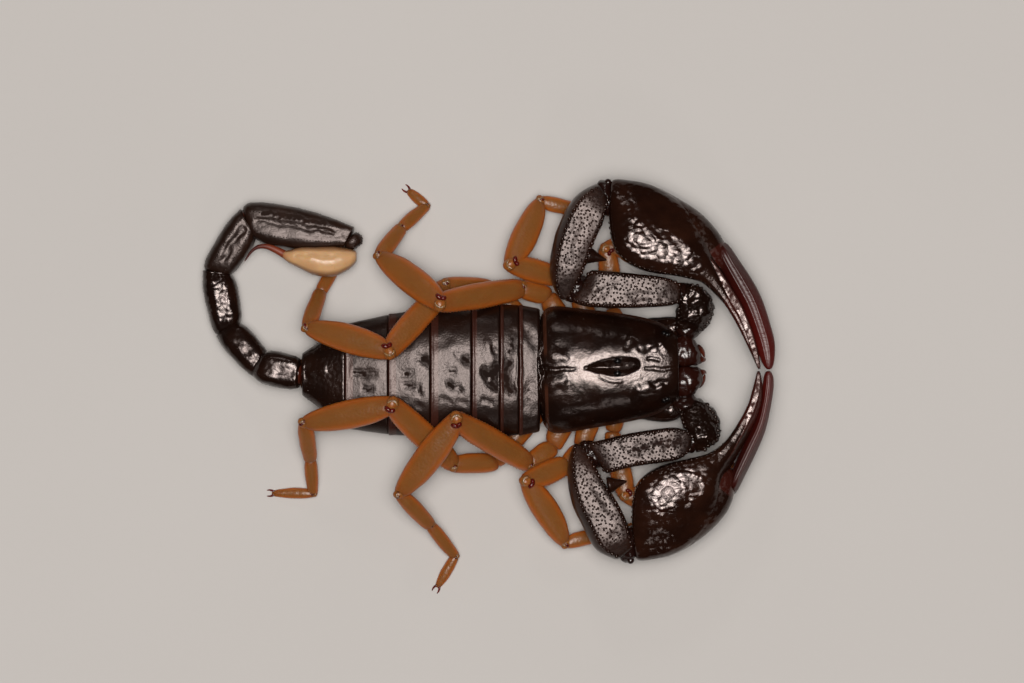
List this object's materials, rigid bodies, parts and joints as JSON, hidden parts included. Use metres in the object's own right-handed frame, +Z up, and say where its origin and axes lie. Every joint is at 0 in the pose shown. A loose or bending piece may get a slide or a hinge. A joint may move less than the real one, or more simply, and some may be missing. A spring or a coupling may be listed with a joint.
{
  "type": "wood scorpion figure",
  "caption": "Small black-brown scorpion at rest: broad claws closed in front of the head, honey-coloured folded legs, slim tail curled to the left with the sting laid beside it.",
  "frame": {"origin": "on the floor, under the middle of the animal's outline", "axes": "+X towards the head, +Y towards the animal's left, +Z up"},
  "size_m": [0.0254, 0.0186, 0.0046],
  "materials": {
    "shell": "black-brown shell plates, high gloss, finely granular keels",
    "finger": "dark red-brown polished shell",
    "leg": "translucent honey-coloured shell with dark red joints",
    "underside": "amber-brown hips and breast plates",
    "comb": "pale soft comb plates",
    "jaw": "glossy red-brown jaws with dark tips",
    "eye": "polished black beads",
    "telson": "cream-yellow translucent bulb",
    "sting": "dark red polished sting"
  },
  "bodies": {
    "root": {"carapace": "shell", "mesosoma_1": "shell", "mesosoma_2": "shell", "mesosoma_3": "shell", "mesosoma_4": "shell", "mesosoma_5": "shell", "mesosoma_6": "shell", "mesosoma_7": "shell", "metasoma_1": "shell", "metasoma_2": "shell", "metasoma_3": "shell", "metasoma_4": "shell", "metasoma_5": "shell", "pedipalp_left_coxa": "shell", "pedipalp_left_trochanter": "shell", "pedipalp_left_femur": "shell", "pedipalp_left_patella": "shell", "pedipalp_left_chela": "shell", "pedipalp_right_coxa": "shell", "pedipalp_right_trochanter": "shell", "pedipalp_right_femur": "shell", "pedipalp_right_patella": "shell", "pedipalp_right_chela": "shell", "pedipalp_left_finger": "finger", "pedipalp_right_finger": "finger", "leg_1_left_femur": "leg", "leg_1_left_patella": "leg", "leg_1_left_tarsus": "leg", "leg_2_left_femur": "leg", "leg_2_left_patella": "leg", "leg_2_left_tarsus": "leg", "leg_3_left_femur": "leg", "leg_3_left_patella": "leg", "leg_3_left_tarsus": "leg", "leg_4_left_femur": "leg", "leg_4_left_patella": "leg", "leg_4_left_tarsus": "leg", "leg_1_right_femur": "leg", "leg_1_right_patella": "leg", "leg_1_right_tarsus": "leg", "leg_2_right_femur": "leg", "leg_2_right_patella": "leg", "leg_2_right_tarsus": "leg", "leg_3_right_femur": "leg", "leg_3_right_patella": "leg", "leg_3_right_tarsus": "leg", "leg_4_right_femur": "leg", "leg_4_right_patella": "leg", "leg_4_right_tarsus": "leg", "coxosternum": "underside", "pecten_left": "comb", "pecten_right": "comb", "chelicera_left": "jaw", "chelicera_right": "jaw", "eye_median_left": "eye", "eye_median_right": "eye", "eyes_lateral_left": "eye", "eyes_lateral_right": "eye", "telson_vesicle": "telson", "telson_aculeus": "sting"}
  },
  "joints": []
}
